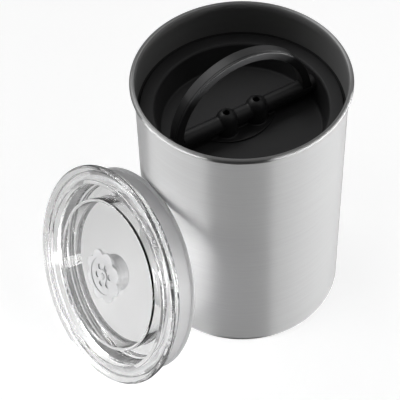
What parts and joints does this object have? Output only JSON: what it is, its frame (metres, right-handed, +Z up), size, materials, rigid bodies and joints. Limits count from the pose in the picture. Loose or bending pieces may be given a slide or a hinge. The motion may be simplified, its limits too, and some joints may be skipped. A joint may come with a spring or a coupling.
{
  "type": "coffee canister",
  "caption": "Airtight coffee canister: brushed steel cylinder, dished plunger lid with bail handle and rotary vent valve, and a clear plug lid that leans beside it.",
  "frame": {"origin": "centre of the canister's base, on the floor", "axes": "+Z up along the canister's axis; the outer lid leans on the -X -Y side and the open picture view is from -Y"},
  "size_m": [0.1944, 0.1842, 0.1936],
  "materials": {
    "brushed_steel": "satin, brushed round the body",
    "black_plastic": "matte moulded, fine grain",
    "black_silicone": "matte",
    "clear_plastic": "clear and polished",
    "frosted_silicone": "translucent, frosted",
    "valve_silicone": "translucent, satin"
  },
  "bodies": {
    "canister": {"canister_wall": "brushed_steel", "canister_base": "brushed_steel"},
    "inner_lid": {"inner_lid_dish": "black_plastic", "inner_lid_seal": "black_silicone", "crossbar": "black_plastic", "crossbar_gasket": "black_silicone", "vent_retainer_left": "black_plastic", "vent_retainer_right": "black_plastic"},
    "bail": {"bail_handle": "black_plastic", "valve_spindle": "black_plastic", "spindle_seal_1": "black_silicone", "spindle_seal_2": "black_silicone", "spindle_seal_3": "black_silicone", "spindle_seal_4": "black_silicone"},
    "outer_lid": {"outer_lid_cover": "clear_plastic", "outer_lid_gasket": "frosted_silicone", "lid_valve_washer": "valve_silicone", "lid_valve_body": "valve_silicone", "lid_valve_membrane": "valve_silicone", "lid_valve_cup": "frosted_silicone"}
  },
  "joints": [
    {"name": "inner_lid_slide", "type": "slide", "parent": "canister", "child": "inner_lid", "axis": [0, 0, 1], "range_m": [-0.128, 0.055]},
    {"name": "bail_fold", "type": "hinge", "parent": "inner_lid", "child": "bail", "pos_m": [0, 0, 0.1465], "axis": [0.8508, 0.5255, 0], "range_deg": [-86, 3]},
    {"name": "lid_lift", "type": "slide", "parent": "canister", "child": "outer_lid", "axis": [-0.5706, -0.4176, 0.7071], "range_m": [0, 0.12]}
  ]
}
